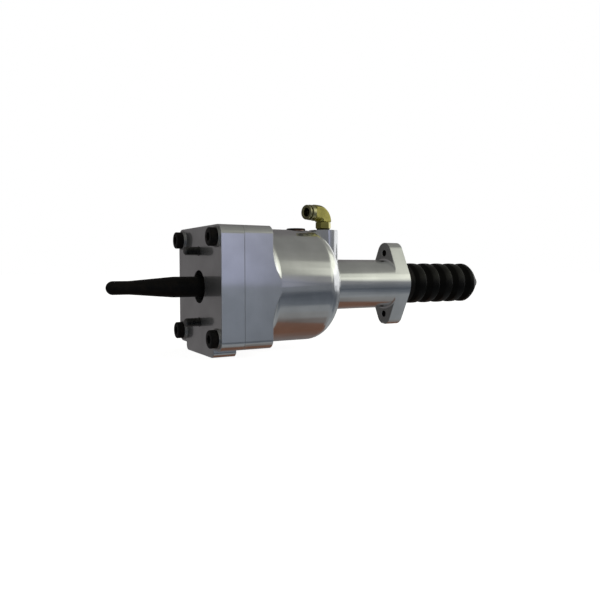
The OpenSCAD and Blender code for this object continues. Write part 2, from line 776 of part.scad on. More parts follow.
module boot_clip() {
    collar_r = spigot_r + boot_wall + seat_gap;
    middle = bead_x + bead_w / 2;
    color([0.2, 0.2, 0.2]) ring(middle - boot_clip_w / 2, middle + boot_clip_w / 2,
        collar_r + boot_clip_t, collar_r);
}

module air_piston() {
    color("gainsboro") difference() {
        turned([[nose_front, 0], [nose_front, nose_r - 1], [nose_front + 1, nose_r],
            [piston_front, nose_r], [piston_front, piston_r - 1], [piston_front + 1, piston_r],
            [piston_back - 1, piston_r], [piston_back, piston_r - 1], [piston_back, 0]]);
        bar(nose_front - 1, pocket_end, pocket_r + seat_gap);
        bar(web_end, piston_back + 1, thread_r + seat_gap);
        // Seat of the return spring, grooves in the rim and the bump ring's recess
        ring(piston_front - 1, piston_front + 2, spring_r + spring_wire / 2 + 2,
            spring_r - spring_wire / 2 - 2);
        ring(piston_front + 2.5, piston_front + 2.6 + wear_band_w, bore_r + 1, piston_r - 1.5);
        ring(piston_back - 3.1 - piston_seal_w, piston_back - 3, bore_r + 1,
            piston_r - seal_depth);
        ring(piston_back - 2, piston_back + 1, bump_r + seat_gap, bump_r - 6 - seat_gap);
    }
}

module piston_seal() {
    color([0.1, 0.1, 0.1]) lip_seal(piston_back - 3.05 - piston_seal_w, piston_back - 3.05,
        bore_r - wipe_gap, piston_r - seal_depth + seat_gap);
}

module wear_band() {
    color("tan") ring(piston_front + 2.55, piston_front + 2.55 + wear_band_w,
        bore_r - run_gap, piston_r - 1.5 + seat_gap);
}

module bump_ring() {
    color([0.15, 0.15, 0.15]) turned([[piston_back - 2, bump_r - 6], [piston_back - 2, bump_r],
        [bore_end - 0.6, bump_r], [bore_end - 0.1, bump_r - 0.8],
        [bore_end - 0.1, bump_r - 5.2], [bore_end - 0.6, bump_r - 6]]);
}

// Cup behind the ball of the push rod
module ball_seat() {
    color("ivory") difference() {
        bar(ball_x, pocket_end, pocket_r);
        translate([ball_x, 0, 0]) sphere(r = ball_r + run_gap, $fn = 128);
    }
}

// Screwed ring in front of the ball
module rod_retainer() {
    color("slategray") difference() {
        bar(nose_front, ball_x, pocket_r);
        translate([ball_x, 0, 0]) sphere(r = ball_r + run_gap, $fn = 128);
        bar(nose_front - 1, ball_x, opening_r);
        above_and_below((pocket_r + opening_r) / 2) bar(nose_front - 1, nose_front + 2.5, 1.5);
    }
}

// Hollow stem: guide bores, ducts to the chamber behind the piston and supply holes
module valve_stem() {
    duct_mid = (chamber_r + stem_r) / 2;
    color("gainsboro") difference() {
        turned([[web_end, 0], [web_end, thread_r - 1], [web_end + 1, thread_r],
            [piston_back, thread_r], [piston_back, stem_r], [stem_end - 1, stem_r],
            [stem_end, stem_r - 1], [stem_end, 0]]);
        turned([[web_end - 1, 0], [web_end - 1, chamber_r], [guide_x, chamber_r],
            [guide_x, guide_r + run_gap], [guide_end, guide_r + run_gap],
            [guide_end, spring_space_r], [stem_clip_x, spring_space_r],
            [stem_clip_x, spring_space_r + circlip_depth],
            [stem_clip_x + circlip_t, spring_space_r + circlip_depth],
            [stem_clip_x + circlip_t, spring_space_r], [stem_end + 1, spring_space_r],
            [stem_end + 1, 0]]);
        ring(web_end + 4, web_end + 6.2, thread_r + 1, thread_r - 1.3);
        for (turn = [0:120:240]) rotate([turn, 0, 0]) {
            // Long duct, its outlet behind the piston and its inlet behind the valve seat
            translate([0, 0, duct_mid]) bar(bore_end - 0.7, guide_x + 4, duct_r);
            translate([bore_end + 0.8, 0, duct_mid]) cylinder(h = stem_r, r = duct_r);
            translate([guide_x + 3, 0, 0]) cylinder(h = duct_mid, r = duct_r);
            rotate([60, 0, 0]) translate([supply_x, 0, 0]) cylinder(h = stem_r + 1, r = 2);
        }
    }
}

module stem_seal() {
    color([0.1, 0.1, 0.1]) round_ring(web_end + 5.1, thread_r - 0.64, 1.2);
}

// Plug that closes the valve chamber and guides the poppet's stem
module valve_plug() {
    color("slategray") difference() {
        turned([[valve_plug_x, 0], [valve_plug_x, chamber_r - seat_gap],
            [valve_plug_x + 8, chamber_r - seat_gap], [valve_plug_x + 8, 5.5],
            [valve_plug_x + 10, 5.5], [valve_plug_x + 10, 0]]);
        bar(valve_plug_x + 3, valve_plug_x + 11, 2.5 + run_gap);
        translate([valve_plug_x - 1, 0, 0]) rotate([0, 90, 0])
            cylinder(h = 3, d = 6 / cos(30), $fn = 6);
    }
}

module inlet_seat() {
    color("darkgoldenrod") turned([[seat_x, 6.5], [seat_x, 7.3], [seat_x + 0.8, 7.6],
        [seat_x + 0.8, chamber_r - seat_gap], [guide_x, chamber_r - seat_gap], [guide_x, 6.5]]);
}

module stem_circlip() {
    color("dimgray") circlip(stem_clip_x, spring_space_r + circlip_depth - seat_gap,
        spring_space_r - 2);
}

// Rod with a ball end in the piston, a taper and a round tip
module push_rod() {
    taper_end = rod_tip_len - rod_out;
    ball_angle = asin(rod_neck_r / ball_r);
    color([0.07, 0.07, 0.07]) difference() {
        turned(concat([for (a = [0:10:90]) [rod_tip_r * (1 - cos(a)) - rod_out, rod_tip_r * sin(a)]],
            [[taper_end, rod_tip_r], [taper_end + rod_taper_len, rod_r], [nose_front - 5, rod_r],
            [nose_front - 4, rod_r - 1], [nose_front - 4, rod_neck_r]],
            arc(ball_x, 0, ball_r, ball_angle - 90, 90, 24)));
        // Flat on the ball's back, where a key holds it
        bar(ball_x + ball_r - 1, ball_x + ball_r + 1, 6);
    }
}

// Control plunger: hollow nose, guided body, spring collar and input rod
module control_plunger() {
    cup_x = cup_back - 12;
    color("lightgray") difference() {
        turned([[seat_x + free_gap, 0], [seat_x + free_gap, 4.4], [seat_x + 1.2, 5],
            [plunger_x - 2, 5], [plunger_x, guide_r], [plunger_x + 4, guide_r],
            [plunger_x + 4, guide_r - 1.9], [plunger_x + 6.4, guide_r - 1.9],
            [plunger_x + 6.4, guide_r], [plunger_end - 10, guide_r],
            [plunger_end - 10, guide_r - 1.9], [plunger_end - 7.6, guide_r - 1.9],
            [plunger_end - 7.6, guide_r], [plunger_end - 0.5, guide_r],
            [plunger_end, guide_r - 0.5], [plunger_end, 6.5], [collar_x, 6.5],
            [collar_x, spring_space_r - 0.4], [collar_x + collar_t, spring_space_r - 0.4],
            [collar_x + collar_t, 6.5], [cup_x, 6.5], [cup_x, 4], [cup_x + 4, 4], [cup_x + 4, 0]]);
        // Exhaust duct, open behind the stem
        bar(seat_x - 1, stem_end + 8, 2.5);
        for (turn = [0:90:270]) rotate([turn, 0, 0])
            translate([stem_end + 6, 0, 0]) cylinder(h = 8, r = 1.6);
    }
}

module plunger_seals() {
    color([0.1, 0.1, 0.1]) for (x = [plunger_x + 5.2, plunger_end - 8.8])
        round_ring(x, guide_r - 0.9, 1.8);
}

module plunger_spring() {
    start = guide_end + free_gap / 2;
    color("dimgray") coil_spring(start, collar_x - start - free_gap / 2, 9.4, 1.6, 6, 14, 6);
}

// Hardened cup that takes the pedal's rod
module input_cup() {
    cup_x = cup_back - 12;
    color("dimgray") turned([[cup_x, 4 + seat_gap], [cup_x, 8.5], [cup_x + 1, 9.5],
        [cup_back - 0.6, 9.5], [cup_back, 8.9], [cup_back, 5.8], [cup_back - 0.6, 5.2],
        [cup_back - 6.5, 5.2], [cup_back - 7.4, 0], [cup_x + 4.1, 0], [cup_x + 4.1, 4 + seat_gap]]);
}

module valve_poppet() {
    color("darkgoldenrod") turned([[valve_plug_x + 5, 0], [valve_plug_x + 5, 2.5],
        [poppet_x, 2.5], [poppet_x, 8], [poppet_x + 3, 8], [poppet_x + 3, 7.4],
        [poppet_x + 4, 7.4], [poppet_x + 4, 0]]);
}

module poppet_face() {
    color([0.15, 0.1, 0.1]) turned([[poppet_x + 3 + seat_gap, 7.4 + seat_gap],
        [poppet_x + 3 + seat_gap, 8.4], [seat_x - seat_gap, 8.4], [seat_x - seat_gap, 0],
        [poppet_x + 4 + seat_gap, 0], [poppet_x + 4 + seat_gap, 7.4 + seat_gap]]);
}

module poppet_spring() {
    start = valve_plug_x + 8 + free_gap / 2;
    color("dimgray") coil_spring(start, poppet_x - start - free_gap / 2, 7, 1, 5, 14, 6);
}

// Arm of the elbow: children are drawn with the arm along -X from the swivel's axis
module on_arm() {
    translate([port_x, 0, 0]) rotate([0, 0, arm_turn]) children();
}

// Solid turned about the arm's axis from points [distance from the swivel, radius]
module arm_turned(points) {
    translate([0, 0, arm_z]) rotate([0, -90, 0])
        rotate_extrude() polygon([for (p = points) [p[1], p[0]]]);
}

module elbow_body() {
    body_end = sleeve_back - 1.2;
    floor = seal_start - 0.1;
    color([0.72, 0.65, 0.3]) on_arm() difference() {
        union() {
            translate([-bend_r, 0, elbow_z]) rotate([90, 0, 0])
                rotate_extrude(angle = 90) translate([bend_r, 0]) circle(r = elbow_r);
            arm_turned([[bend_r, 0], [bend_r, elbow_r], [body_end - 0.6, elbow_r],
                [body_end, elbow_r - 0.6], [body_end, elbow_r - 1], [body_end + 1.2, elbow_r - 1],
                [body_end + 1.2, 0]]);
        }
        translate([0, 0, elbow_z - 1]) cylinder(h = 8.7, r = swivel_r + run_gap);
        translate([0, 0, elbow_z - 1]) cylinder(h = bend_r + 1, r = air_way_r);
        translate([0, 0, elbow_z + 1.1]) cylinder(h = 1.2, r = swivel_r + 0.9);
        arm_turned([[-air_way_r, 0], [-air_way_r, air_way_r], [floor, air_way_r],
            [floor, socket_r], [body_end + 2, socket_r], [body_end + 2, 0]]);
    }
}

module elbow_seal() {
    color([0.1, 0.1, 0.1]) translate([port_x, 0, hex_z + hex_h + 4.9]) rotate_extrude()
        translate([swivel_r - 0.65, 0]) circle(r = 0.6, $fn = 24);
}

// Wire ring that keeps the elbow on the spigot
module elbow_clip() {
    color("dimgray") on_arm() translate([0, 0, elbow_z + 1.1 + seat_gap]) difference() {
        cylinder(h = 1.1, r = swivel_r + 0.8);
        translate([0, 0, -1]) cylinder(h = 4, r = swivel_r - 0.4);
        translate([0, -1.5, -1]) cube([swivel_r + 2, 3, 4]);
    }
}

module port_sleeve() {
    back = sleeve_back;
    end = back - sleeve_reach;
    bore = sleeve_bore_r;
    color([0.66, 0.58, 0.36]) on_arm() arm_turned([[end, bore], [end, socket_r - seat_gap],
        [back, socket_r - seat_gap], [back, sleeve_r], [arm_len - 0.5, sleeve_r],
        [arm_len, sleeve_r - 0.5], [arm_len, bore], [back + 1.7, bore],
        [back + 1.7, bore + 0.7], [back + 0.6, bore + 0.7], [back + 0.6, bore]]);
}

module tube_seal() {
    outer = socket_r - seat_gap;
    color([0.1, 0.1, 0.1]) on_arm() arm_turned([[seal_start, tube_r + 0.05],
        [seal_start, outer], [seal_end, outer], [seal_end, tube_r + 0.05]]);
}

// Toothed steel ring that bites the tube
module grip_ring() {
    x = sleeve_back + 0.7;
    outer = sleeve_bore_r + 0.65;
    color("gray") on_arm() difference() {
        arm_turned([[x, tube_r + 0.2], [x + 0.9, tube_r + 0.5], [x + 0.9, outer], [x, outer]]);
        for (a = [0:30:330]) translate([0, 0, arm_z]) rotate([a, 0, 0])
            translate([-x - 2, -0.25, 0]) cube([3, 0.5, sleeve_bore_r - 0.1]);
    }
}

// Collar that frees the tube when its rim is pressed towards the sleeve
module release_collar() {
    rim_back = arm_len + collar_gap;
    face = rim_back + collar_rim_t;
    back = sleeve_back + 2.7;
    rim = sleeve_r - 0.3;
    body = sleeve_bore_r - 0.1;
    color([0.6, 0.52, 0.3]) on_arm() arm_turned([[face, tube_r + 0.6], [face, rim - 0.4],
        [face - 0.4, rim], [rim_back, rim], [rim_back, body], [back, body],
        [back, tube_r + 0.05], [face - 1.2, tube_r + 0.05]]);
}

housing();
front_cover();
cover_screws();
cover_washers();
mounting_studs();
cover_dowels();
cover_seal();
spring_seat();
return_spring();
port_plug();
plug_seal();
port_adapter();
adapter_seal();
neck_seal_front();
neck_seal_rear();
neck_bush_front();
bush_spacer();
neck_bush_rear();
neck_circlips();
boot();
boot_clip();
air_piston();
piston_seal();
wear_band();
bump_ring();
ball_seat();
rod_retainer();
valve_stem();
stem_seal();
valve_plug();
inlet_seat();
stem_circlip();
push_rod();
control_plunger();
plunger_seals();
plunger_spring();
input_cup();
valve_poppet();
poppet_face();
poppet_spring();
elbow_body();
elbow_seal();
elbow_clip();
port_sleeve();
tube_seal();
grip_ring();
release_collar();
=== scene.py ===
"""Clutch servo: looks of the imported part, laid out as an add-on with one operator per group of pieces."""

import json
import math

import bmesh
import bpy
from bpy.props import FloatProperty, FloatVectorProperty, IntProperty, PointerProperty
from mathutils import Euler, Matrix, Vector

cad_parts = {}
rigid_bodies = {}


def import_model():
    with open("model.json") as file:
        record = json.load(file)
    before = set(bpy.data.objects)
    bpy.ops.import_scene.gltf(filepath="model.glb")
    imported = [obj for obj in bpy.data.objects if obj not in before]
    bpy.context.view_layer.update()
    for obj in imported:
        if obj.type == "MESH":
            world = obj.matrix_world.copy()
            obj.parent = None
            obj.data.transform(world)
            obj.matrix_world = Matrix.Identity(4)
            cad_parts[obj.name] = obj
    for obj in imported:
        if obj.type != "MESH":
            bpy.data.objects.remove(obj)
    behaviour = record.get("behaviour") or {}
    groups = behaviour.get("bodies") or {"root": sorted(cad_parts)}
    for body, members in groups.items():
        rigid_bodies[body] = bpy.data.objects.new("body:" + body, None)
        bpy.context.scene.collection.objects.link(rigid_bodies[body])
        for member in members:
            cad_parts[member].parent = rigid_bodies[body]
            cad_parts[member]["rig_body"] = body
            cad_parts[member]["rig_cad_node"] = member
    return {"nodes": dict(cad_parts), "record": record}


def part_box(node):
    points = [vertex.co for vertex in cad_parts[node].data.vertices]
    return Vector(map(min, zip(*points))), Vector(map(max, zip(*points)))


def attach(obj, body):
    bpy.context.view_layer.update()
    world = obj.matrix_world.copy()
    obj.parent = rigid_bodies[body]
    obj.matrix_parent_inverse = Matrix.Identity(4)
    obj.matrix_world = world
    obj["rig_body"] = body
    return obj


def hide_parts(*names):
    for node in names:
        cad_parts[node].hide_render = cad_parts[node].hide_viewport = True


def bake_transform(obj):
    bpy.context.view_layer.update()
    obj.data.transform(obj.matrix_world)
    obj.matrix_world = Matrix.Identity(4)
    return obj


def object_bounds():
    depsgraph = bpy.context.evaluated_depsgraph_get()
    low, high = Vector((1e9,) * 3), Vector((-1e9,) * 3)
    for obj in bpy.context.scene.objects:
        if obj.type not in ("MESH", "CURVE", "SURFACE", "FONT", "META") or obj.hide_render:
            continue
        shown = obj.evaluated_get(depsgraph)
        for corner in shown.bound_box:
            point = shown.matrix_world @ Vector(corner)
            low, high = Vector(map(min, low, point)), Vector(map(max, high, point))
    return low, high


bl_info = {
    "name": "Clutch Servo",
    "version": (1, 0, 0),
    "blender": (4, 5, 0),
    "location": "View3D > Sidebar > Clutch Servo",
    "description": "Castings, screws, rod, boot, air fitting and studio of a clutch servo",
    "category": "Object",
}

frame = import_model()
cad_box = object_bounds()
MM = 0.001

# What lies nearer than NEAR touches, and faces that turn less than FLAT are one plane
NEAR, FLAT = 0.01 * MM, math.radians(0.02)

# Faces and axes of the solids that the details follow
BLOCK_END, CREST_X, BLOCK_Y = 57.5 * MM, 58.5 * MM, 54.8 * MM
FLANGE_X, BOLT_Z, BOLT_R = 213.6 * MM, 33.2 * MM, 3.5 * MM
ARM_X, ARM_Z, ARM_TURN = 135 * MM, 72.9 * MM, math.radians(13)


# Sizes and colours


class ServoSizes(bpy.types.PropertyGroup):
    """Sizes of the details that the solids leave out."""

    edge_break: FloatProperty(
        name="Edge break", description="Broken edge of the castings",
        default=0.3 * MM, min=0.1 * MM, max=1 * MM, unit="LENGTH", precision=5)
    flange_round: FloatProperty(
        name="Flange rounding", description="Rounding at the lowest point of the flange's front",
        default=2.2 * MM, min=0.5 * MM, max=3 * MM, unit="LENGTH", precision=5)
    fitting_edge: FloatProperty(
        name="Fitting edge", description="Broken edge of the brass fitting",
        default=0.25 * MM, min=0.1 * MM, max=0.6 * MM, unit="LENGTH", precision=5)
    knurls: IntProperty(
        name="Knurls", description="Knurls round one screw head", default=54, min=24, max=90)
    knurl_depth: FloatProperty(
        name="Knurl depth", description="Depth of the knurls of a screw head",
        default=0.18 * MM, min=0.05 * MM, max=0.4 * MM, unit="LENGTH", precision=5)
    thread_pitch: FloatProperty(
        name="Thread pitch", description="Pitch of the thread on the studs",
        default=1.25 * MM, min=0.8 * MM, max=2 * MM, unit="LENGTH", precision=5)
    fold_round: FloatProperty(
        name="Fold rounding", description="Radius of the shoulders of the boot's folds",
        default=3 * MM, min=1 * MM, max=4 * MM, unit="LENGTH", precision=5)
    cheek: FloatProperty(
        name="Elbow cheek", description="Distance of the elbow's flat cheeks from its axis",
        default=6.5 * MM, min=6.5 * MM, max=8 * MM, unit="LENGTH", precision=5)


class ServoColours(bpy.types.PropertyGroup):
    """Colours of the finishes."""

    alloy: FloatVectorProperty(
        name="Alloy", description="Machined aluminium of the housing and the cover",
        subtype="COLOR", size=3, min=0, max=1, default=(0.80, 0.81, 0.82))
    black_steel: FloatVectorProperty(
        name="Black steel", description="Blackened screws, studs and rod",
        subtype="COLOR", size=3, min=0, max=1, default=(0.011, 0.0105, 0.0105))
    bright_steel: FloatVectorProperty(
        name="Bright steel", description="Ground and plated steel",
        subtype="COLOR", size=3, min=0, max=1, default=(0.56, 0.56, 0.55))
    brass: FloatVectorProperty(
        name="Brass", description="Polished brass of the air fitting",
        subtype="COLOR", size=3, min=0, max=1, default=(0.58, 0.53, 0.15))
    bronze: FloatVectorProperty(
        name="Bronze", description="Bushes and valve parts",
        subtype="COLOR", size=3, min=0, max=1, default=(0.62, 0.40, 0.18))
    copper: FloatVectorProperty(
        name="Copper", description="Seal ring under the low plug",
        subtype="COLOR", size=3, min=0, max=1, default=(0.72, 0.36, 0.22))
    rubber: FloatVectorProperty(
        name="Rubber", description="Moulded rubber of the boot and the seals",
        subtype="COLOR", size=3, min=0, max=1, default=(0.0055, 0.0052, 0.0045))
    plastic: FloatVectorProperty(
        name="Plastic", description="Guide plastic",
        subtype="COLOR", size=3, min=0, max=1, default=(0.74, 0.70, 0.56))


# Shader building


class Wire:
    """One output of a node. Arithmetic on it adds Math nodes."""

    def __init__(self, shader, socket):
        self.shader, self.socket = shader, socket

    def maths(self, operation, *values):
        """A Math node with these values on its sockets."""
        return self.shader.add("ShaderNodeMath", {"operation": operation},
                               dict(enumerate(values)))

    def __add__(self, other):
        return self.maths("ADD", self, other)

    def __mul__(self, other):
        return self.maths("MULTIPLY", self, other)

    def __truediv__(self, other):
        return self.maths("DIVIDE", self, other)

    def __rtruediv__(self, other):
        return self.maths("DIVIDE", other, self)

    __radd__, __rmul__ = __add__, __mul__


class Shader:
    """A node tree that is filled by add(): node type, settings, then sockets."""

    def __init__(self, tree):
        self.tree = tree
        tree.nodes.clear()

    def add(self, kind, settings=None, sockets=None, out=0):
        """A new node. Its settings may hold a ramp's stops and how they blend."""
        node = self.tree.nodes.new(kind)
        for name, value in (settings or {}).items():
            if name == "stops":
                ramp = node.color_ramp
                while len(ramp.elements) > 1:
                    ramp.elements.remove(ramp.elements[-1])
                for i, (place, colour) in enumerate(value):
                    stop = ramp.elements[0] if i == 0 else ramp.elements.new(place)
                    stop.position, stop.color = place, (*colour, 1)
            elif name == "blend":
                node.color_ramp.interpolation = value
            else:
                setattr(node, name, value)
        for name, value in (sockets or {}).items():
            if isinstance(value, Wire):
                self.tree.links.new(value.socket, node.inputs[name])
            elif value is not None:
                node.inputs[name].default_value = value
        return Wire(self, node.outputs[out]) if node.outputs else None

    def place(self, stretch=(1, 1, 1)):
        """The object's own coordinates, in metres, stretched."""
        here = self.add("ShaderNodeTexCoord", out="Object")
        return self.add("ShaderNodeMapping", {"vector_type": "POINT"},
                        {"Vector": here, "Scale": stretch})

    def axes(self, vector):
        """The three coordinates of a vector."""
        split = self.add("ShaderNodeSeparateXYZ", None, {0: vector}).socket.node
        return [Wire(self, part) for part in split.outputs]

    def noise(self, per_metre, detail, stretch=(1, 1, 1)):
        """Noise with so many patches to a metre, on stretched coordinates."""
        return self.add("ShaderNodeTexNoise", None, {
            "Vector": self.place(stretch), "Scale": per_metre, "Detail": detail})

    def fade(self, value, low, high, to_low=0.0, to_high=1.0):
        """Smooth change of value between low and high."""
        return self.add("ShaderNodeMapRange", {"interpolation_type": "SMOOTHSTEP"}, {
            "Value": value, "From Min": low, "From Max": high,
            "To Min": to_low, "To Max": to_high})

    def mix(self, share, first, second, kind="MIX"):
        """Mix of two colours."""
        return self.add("ShaderNodeMix", {"data_type": "RGBA", "blend_type": kind},
                        {0: share, 6: first, 7: second}, out=2)

    def bump(self, height, depth, strength):
        """Normal of a relief that is depth metres high."""
        return self.add("ShaderNodeBump", None,
                        {"Height": height, "Distance": depth, "Strength": strength})


def scaled(colour, gain):
    """The colour times a gain, which is one number or one for each channel."""
    gains = gain if isinstance(gain, tuple) else (gain,) * 3
    return [c * k for c, k in zip(colour, gains)]


def rgba(colour, gain=1.0):
    """The colour times a gain, as a socket takes it."""
    return (*[min(1.0, c) for c in scaled(colour, gain)], 1)


def finish_of(name, build, broad=0.0):
    """A material whose Principled sockets are what build() returns, made once.
    A share of broad gives it a second, softer gloss, stronger on the cover's outer face."""
    material = bpy.data.materials.get(name)
    if material is None:
        material = bpy.data.materials.new(name)
        material.use_nodes = True
        shader = Shader(material.node_tree)
        sockets = build(shader)
        surface = shader.add("ShaderNodeBsdfPrincipled", None, sockets)
        if broad:
            x, _, _ = shader.axes(shader.place())
            soft = shader.add("ShaderNodeBsdfPrincipled", None, {**sockets, "Roughness": 0.45})
            share = shader.fade(x, 0.2 * MM, 0.8 * MM, broad + 0.3, broad)
            surface = shader.add("ShaderNodeMixShader", None, {0: share, 1: surface, 2: soft})
        shader.add("ShaderNodeOutputMaterial", None, {"Surface": surface})
    return material


# Finishes


def machined_alloy(name, colour, rough):
    """Turned and milled aluminium: faint tool lines, blotches and fine grain."""

    def build(s):
        blotch = s.noise(38, 3)
        lines = s.noise(1, 2, (5200, 30, 30))
        grain = s.noise(2600, 2)
        tone = s.mix(s.fade(blotch, 0.35, 0.68), rgba(colour, 0.93), rgba(colour, 1.04))
        worn = s.mix(s.fade(lines, 0.55, 0.75, 0, 0.25), tone, rgba(colour, 0.84))
        height = lines * 0.6 + grain * 0.4
        return {"Base Color": worn, "Metallic": 1.0,
                "Roughness": s.fade(blotch, 0.3, 0.7, rough * 0.85, rough * 1.2) + grain * 0.02,
                "Normal": s.bump(height, 0.012 * MM, 0.5)}

    return finish_of(name, build, 0.3)


def blackened_steel(name, colour, rough):
    """Blackened steel: oil film, rust-brown tint in places, rubbed spots."""

    def build(s):
        film = s.noise(160, 4)
        grain = s.noise(2400, 3)
        rust = rgba(colour, (1.9, 1.6, 1.4))
        tone = s.mix(s.fade(film, 0.4, 0.72), rgba(colour), rust)
        return {"Base Color": tone, "Metallic": 0.2,
                "Roughness": s.fade(film, 0.3, 0.7, rough, rough + 0.14) + grain * 0.06,
                "Specular IOR Level": 0.11,
                "Normal": s.bump(grain, 0.04 * MM, 0.5)}

    return finish_of(name, build)


def bright_metal(name, colour, rough, line_stretch=(3600, 60, 60)):
    """Bright metal with fine lines from turning or grinding."""

    def build(s):
        cloud = s.noise(120, 3)
        lines = s.noise(1, 2, line_stretch)
        tone = s.mix(s.fade(cloud, 0.3, 0.7), rgba(colour, 0.86), rgba(colour, 1.06))
        return {"Base Color": s.mix(s.fade(lines, 0.5, 0.8, 0, 0.3), tone, rgba(colour, 0.7)),
                "Metallic": 1.0,
                "Roughness": s.fade(cloud, 0.3, 0.7, rough * 0.8, rough * 1.25),
                "Normal": s.bump(lines, 0.01 * MM, 0.6)}

    return finish_of(name, build)


def moulded_rubber(name, colour, rough):
    """Moulded rubber: fine grain, dusty bloom that gathers in patches."""

    def build(s):
        bloom = s.noise(90, 4)
        grain = s.noise(3200, 3)
        dust = rgba(colour, (1.5, 1.45, 1.35))
        tone = s.mix(s.fade(bloom, 0.45, 0.8), rgba(colour), dust)
        return {"Base Color": tone,
                "Roughness": s.fade(bloom, 0.35, 0.75, rough - 0.06, rough + 0.08) + grain * 0.05,
                "Specular IOR Level": 0.1,
                "Normal": s.bump(grain, 0.06 * MM, 0.6)}

    return finish_of(name, build)


def guide_plastic(name, colour):
    """Ivory bearing plastic with faint flow marks."""

    def build(s):
        flow = s.noise(60, 4, (1, 3, 3))
        return {"Base Color": s.mix(flow, rgba(colour, 0.85), rgba(colour, 1.05)),
                "Roughness": s.fade(flow, 0.3, 0.7, 0.38, 0.5),
                "Normal": s.bump(s.noise(1800, 2), 0.03 * MM, 0.4)}

    return finish_of(name, build)


def finishes():
    """All finishes: by the record's slot names, and a few more for single pieces."""
    c = bpy.context.scene.servo_colours
    dull = [(x + 0.35) / 2 for x in c.brass]
    makers = {
        "machined_alloy": (machined_alloy, c.alloy, 0.045),
        "piston_alloy": (machined_alloy, c.alloy, 0.24),
        "black_steel": (blackened_steel, c.black_steel, 0.34),
        # Painted shade: blackened steel for the walls of the flange's bolt holes
        "bolt_hole": (blackened_steel, c.black_steel, 0.5),
        "bright_steel": (bright_metal, c.bright_steel, 0.26),
        "stud_steel": (bright_metal, scaled(c.bright_steel, 0.22), 0.3, (700, 700, 700)),
        "spring_steel": (bright_metal, scaled(c.bright_steel, 0.35), 0.34, (900, 900, 900)),
        "washer_steel": (bright_metal, scaled(c.bright_steel, 0.8), 0.42, (900, 900, 900)),
        "brass": (bright_metal, c.brass, 0.17, (1500, 1500, 1500)),
        "dull_brass": (bright_metal, dull, 0.3, (1500, 1500, 1500)),
        "bronze": (bright_metal, c.bronze, 0.3),
        "copper_ring": (bright_metal, c.copper, 0.3, (800, 800, 800)),
        "seal_rubber": (moulded_rubber, scaled(c.rubber, 1.3), 0.45),
        "boot_rubber": (moulded_rubber, c.rubber, 0.36),
        "guide_plastic": (guide_plastic, c.plastic),
    }
    return {slot: make(f"{slot}_looks", *values) for slot, (make, *values) in makers.items()}


# Modelling helpers


def clear_selection():
    """Leaves edit mode and deselects every object."""
    if bpy.context.object and bpy.context.object.mode != "OBJECT":
        bpy.ops.object.mode_set(mode="OBJECT")
    bpy.ops.object.select_all(action="DESELECT")


def only(piece):
    """Selects one object and makes it active."""
    clear_selection()
    piece.hide_set(False)
    piece.select_set(True)
    bpy.context.view_layer.objects.active = piece


def edit(piece):
    """Opens one object in edit mode with all of it selected."""
    only(piece)
    bpy.ops.object.mode_set(mode="EDIT")
    bpy.ops.mesh.select_all(action="SELECT")


def select_where(piece, kind, wanted):
    """In edit mode, selects the verts, edges or faces for which wanted() is true."""
    bpy.ops.mesh.select_all(action="DESELECT")
    mesh = bmesh.from_edit_mesh(piece.data)
    parts = getattr(mesh, kind)
    parts.index_update()
    for part in parts:
        if wanted(part):
            part.select = True
    mesh.select_flush_mode()
    bmesh.update_edit_mesh(piece.data)


def narrow(piece, share_of):
    """In edit mode, moves each vertex towards the X axis, to a share of its distance.
    share_of() gets the vertex's place and distance, and returns the share."""
    mesh = bmesh.from_edit_mesh(piece.data)
    for vertex in mesh.verts:
        share = share_of(vertex.co, math.hypot(vertex.co.y, vertex.co.z))
        vertex.co.y *= share
        vertex.co.z *= share
    bmesh.update_edit_mesh(piece.data)


def apply_modifier(piece, kind, **settings):
    """Adds a modifier with these settings and applies it."""
    only(piece)
    modifier = piece.modifiers.new(kind.lower(), kind)
    for name, value in settings.items():
        setattr(modifier, name, value)
    bpy.ops.object.modifier_apply(modifier=modifier.name)


def smooth(piece, angle):
    """Smooth shading, but for edges sharper than the angle in degrees."""
    only(piece)
    bpy.ops.object.shade_smooth_by_angle(angle=math.radians(angle))


def dress(piece, slot, body, *nodes, look=None):
    """Gives a finished piece its material and its body, and hides the nodes that it stands for."""
    piece.data.materials.clear()
    piece.data.materials.append(finishes()[look or slot])
    if body:
        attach(piece, body)
    if nodes:
        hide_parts(*nodes)


def merged_copy(name, node):
    """Copy of a node as one welded mesh, free of its parent and its marks."""
    only(frame["nodes"][node])
    bpy.ops.object.duplicate()
    piece = bpy.context.object
    piece.name = piece.data.name = name
    piece.parent = None
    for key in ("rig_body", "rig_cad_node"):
        del piece[key]
    if piece.data.has_custom_normals:
        bpy.ops.mesh.customdata_custom_splitnormals_clear()
    edit(piece)
    bpy.ops.mesh.remove_doubles(threshold=0.002 * MM)
    bpy.ops.mesh.dissolve_limited(angle_limit=FLAT)
    bpy.ops.object.mode_set(mode="OBJECT")
    return piece


def break_edges(piece, width):
    """Narrow bevel on the sharp edges; the large faces keep their own shading."""
    apply_modifier(piece, "BEVEL", width=width, segments=1, limit_method="ANGLE",
                   angle_limit=math.radians(40), use_clamp_overlap=False)
    smooth(piece, 180)
    apply_modifier(piece, "WEIGHTED_NORMAL", mode="FACE_AREA", weight=100, thresh=0.0)
    return piece


def edged_copy(name, node, width):
    """Copy of a node with broken edges."""
    return break_edges(merged_copy(name, node), width)


